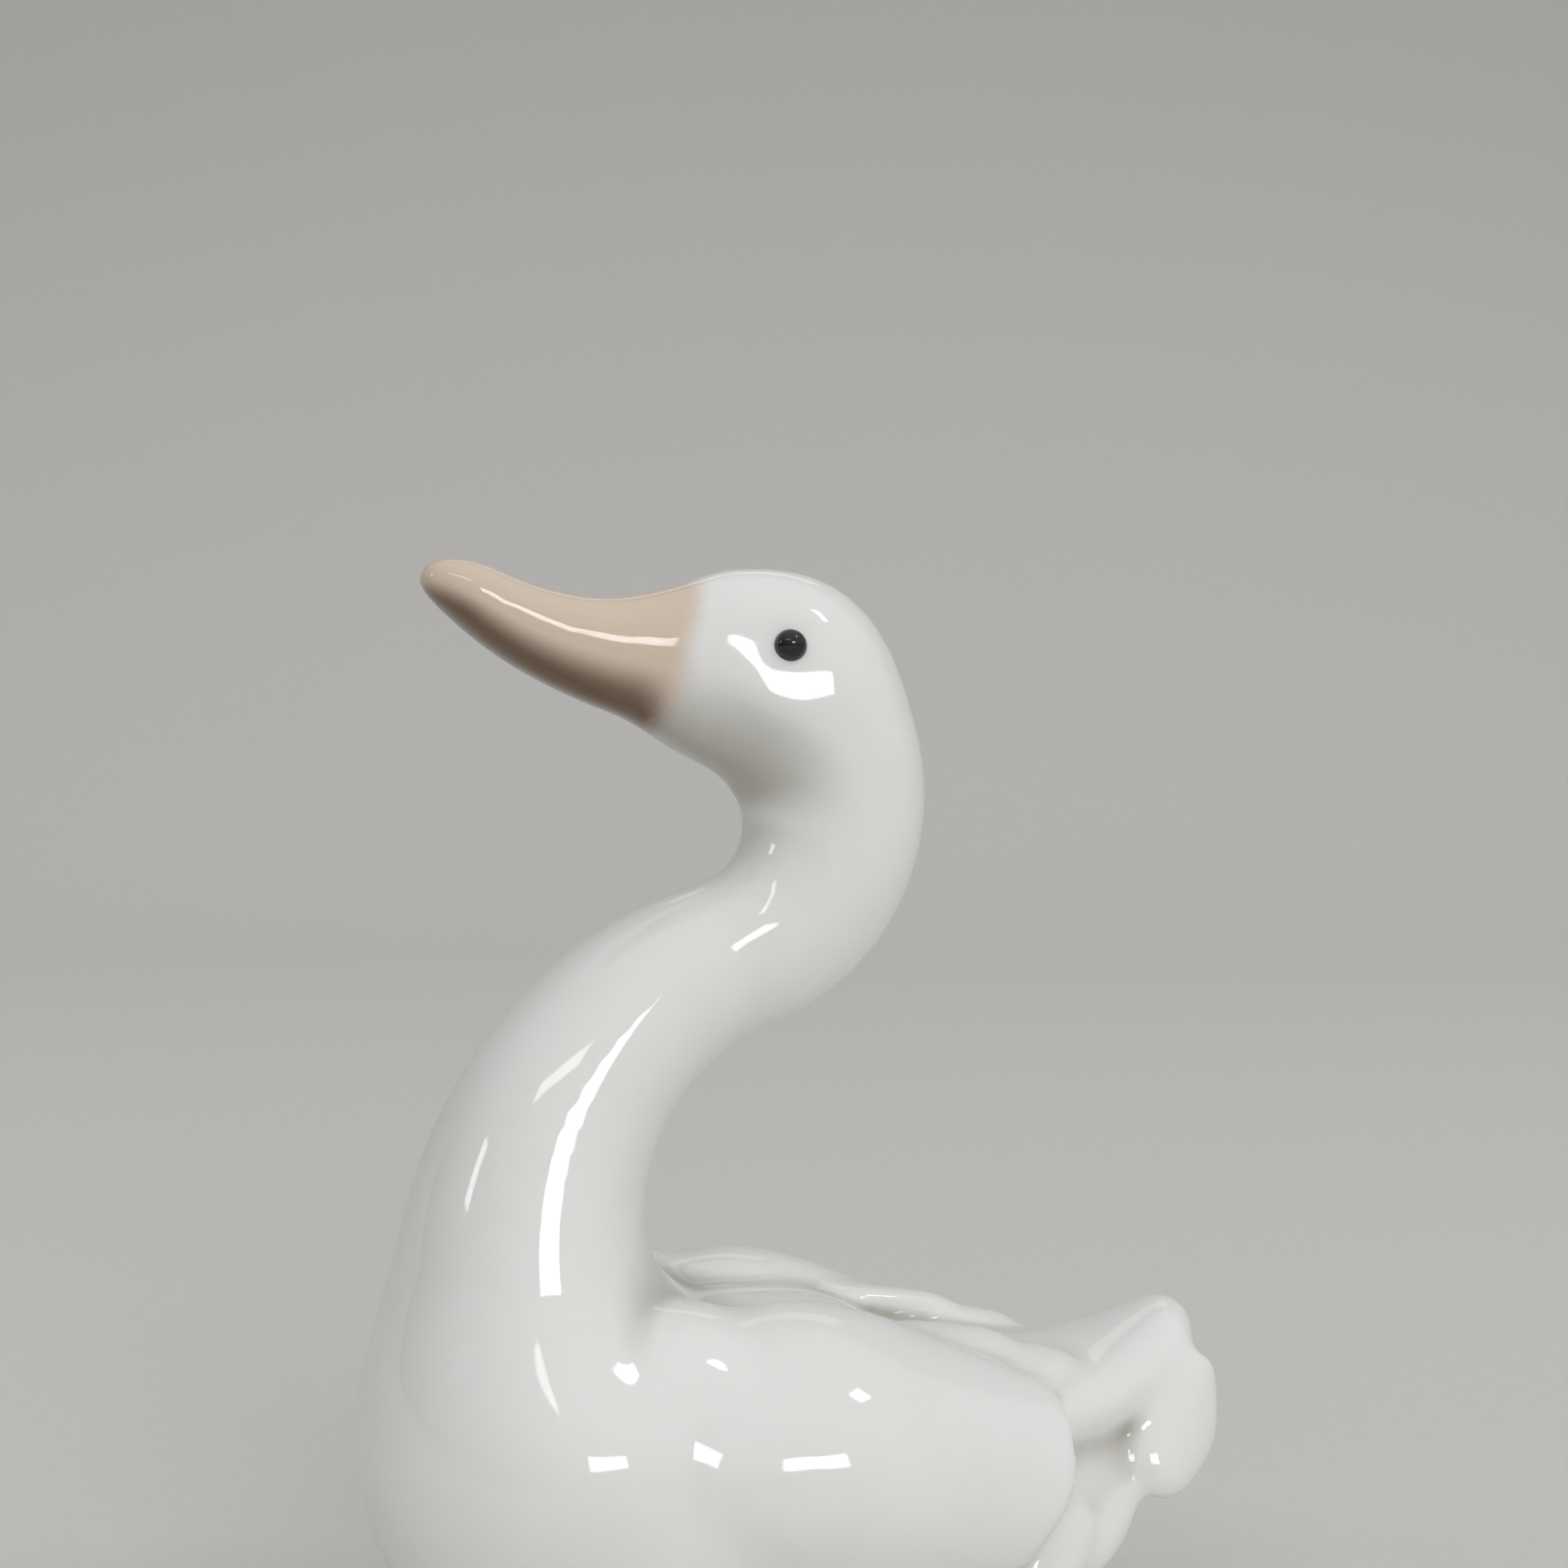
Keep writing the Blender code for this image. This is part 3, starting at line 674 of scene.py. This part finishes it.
def paleFloor():
    # matt studio paper that runs back behind the duck and curves up, so no horizon shows
    bm = bmesh.new()
    f = floorSizes
    az = math.radians(cameraView["azimuth"])
    away = Vector((-math.sin(az), math.cos(az), 0.0))
    side = Vector((math.cos(az), math.sin(az), 0.0)) * f["width"] / 2
    path = [away * -f["front"], away * f["back"]]
    for i in range(1, f["bendSteps"] + 1):
        turn = math.pi / 2 * i / f["bendSteps"]
        up = Vector((0, 0, f["bend"] * (1 - math.cos(turn))))
        path.append(away * (f["back"] + f["bend"] * math.sin(turn)) + up)
    path.append(path[-1] + Vector((0, 0, f["rise"])))
    edge = [bm.verts.new(point - side) for point in path]
    line = [bm.edges.new(pair) for pair in zip(edge, edge[1:])]
    moved = bmesh.ops.extrude_edge_only(bm, edges=line)["geom"]
    bmesh.ops.translate(bm, vec=side * 2, verts=[g for g in moved if isinstance(g, bmesh.types.BMVert)])
    bmesh.ops.recalc_face_normals(bm, faces=bm.faces)
    for face in bm.faces:
        face.smooth = True
    floor = newPiece("paleFloor", bm)
    material, tree, shader = newMaterial("pale studio paper")
    place = addNode(tree, "ShaderNodeTexCoord").outputs["Object"]
    fibre = addNode(tree, "ShaderNodeTexNoise",
                    values={"Scale": 1 / (paperLook["fibre"] * mm), "Detail": 3.0}, links={"Vector": place})
    tint = addNode(tree, "ShaderNodeMix", {"data_type": "RGBA"},
                   {6: hexColour(paperLook["pale"]), 7: hexColour(paperLook["dark"])},
                   {"Factor": fibre.outputs["Fac"]})
    tree.links.new(tint.outputs[2], shader.inputs["Base Color"])
    shader.inputs["Roughness"].default_value = paperLook["roughness"]
    floor.data.materials.append(material)


studioLights = [  # azimuth, elevation, distance (m), width and height (m), watts
    # two panes that shine under the eye and along bill and neck
    dict(name="window left pane", azimuth=89, elevation=21, away=1.6, size=(0.31, 0.26), power=2.3),
    dict(name="window right pane", azimuth=101, elevation=21, away=1.6, size=(0.31, 0.26), power=2.3),
    dict(name="upper window", azimuth=53, elevation=41, away=1.6, size=(0.86, 0.10), power=1.5),
    dict(name="ceiling strip", azimuth=141, elevation=54, away=1.6, size=(0.16, 0.16), power=1.4),
    dict(name="front window", azimuth=-4, elevation=21, away=1.6, size=(0.16, 0.30), power=0.9),
    dict(name="far fill", azimuth=250, elevation=40, away=2.4, size=(1.4, 1.0), power=3),
]
roomLight = dict(azimuth=140.0, elevation=70.0, dim=0.03, bright=0.88, dimAt=-0.35, colour="#F3F3F3")


def lightWay(azimuth, elevation):
    # direction from the duck towards a light
    az, el = math.radians(azimuth), math.radians(elevation)
    return Vector((math.sin(az) * math.cos(el), -math.cos(az) * math.cos(el), math.sin(el)))


def addLights():
    aim = Vector((0.0, 0.0, 0.07))
    for light in studioLights:
        lamp = bpy.data.lights.new(light["name"], "AREA")
        lamp.shape, lamp.energy = "RECTANGLE", light["power"]
        lamp.size, lamp.size_y = light["size"]
        way = lightWay(light["azimuth"], light["elevation"])
        item = bpy.data.objects.new(light["name"], lamp)
        item.location = aim + way * light["away"]
        item.rotation_euler = (-way).to_track_quat("-Z", "Y").to_euler()
        bpy.context.scene.collection.objects.link(item)
    # a soft room, brightest above and on the camera's side, dimmest ahead of the duck and low down
    world = bpy.data.worlds.new("soft room")
    world.use_nodes = True
    tree = world.node_tree
    way = addNode(tree, "ShaderNodeTexCoord").outputs["Generated"]
    towards = addNode(tree, "ShaderNodeVectorMath", {"operation": "DOT_PRODUCT"},
                      {1: lightWay(roomLight["azimuth"], roomLight["elevation"])}, {0: way})
    strength = addNode(tree, "ShaderNodeMapRange",
                       values={"From Min": roomLight["dimAt"], "From Max": 1.0, "To Min": roomLight["dim"],
                               "To Max": roomLight["bright"]}, links={"Value": towards.outputs["Value"]})
    background = tree.nodes["Background"]
    background.inputs["Color"].default_value = hexColour(roomLight["colour"])
    tree.links.new(strength.outputs["Result"], background.inputs["Strength"])
    bpy.context.scene.world = world
    # clean whites, as glazed ware is photographed
    bpy.context.scene.view_settings.view_transform = "Standard"


def addCamera():
    v = cameraView
    az = math.radians(v["azimuth"])
    forward = Vector((-math.sin(az), math.cos(az), 0.0))
    pitch = math.atan((v["frame"] / 2 - v["horizon"]) / v["focalPixels"])
    eye = bpy.data.cameras.new("photo camera")
    eye.sensor_width, eye.lens = v["sensor"], v["sensor"] * v["focalPixels"] / v["frame"]
    eye.clip_start = 1 * mm
    item = bpy.data.objects.new("photo camera", eye)
    item.location = Vector((0.0, v["aimY"], v["height"])) - forward * v["distance"]
    look = forward * math.cos(pitch) - Vector((0.0, 0.0, math.sin(pitch)))
    item.rotation_euler = look.to_track_quat("-Z", "Y").to_euler()
    bpy.context.scene.collection.objects.link(item)
    bpy.context.scene.camera = item


addCamera()
addLights()
paleFloor()
print("stage, lights and camera ready")

skin = makeSkin()
glaze, bisque = glazedPorcelain(), bareBisque()
skin.data.materials.clear()
for material in (glaze, bisque, bisque):  # skin, foot and vent
    skin.data.materials.append(material)
eyes = makeEyes()
eyes.data.materials.append(blackEnamel())
print("glaze, bisque and enamel laid on")
for piece in (skin, eyes):
    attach(piece, "root")
    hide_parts("porcelain_duck")
print("duck made:", len(skin.data.polygons), "faces")
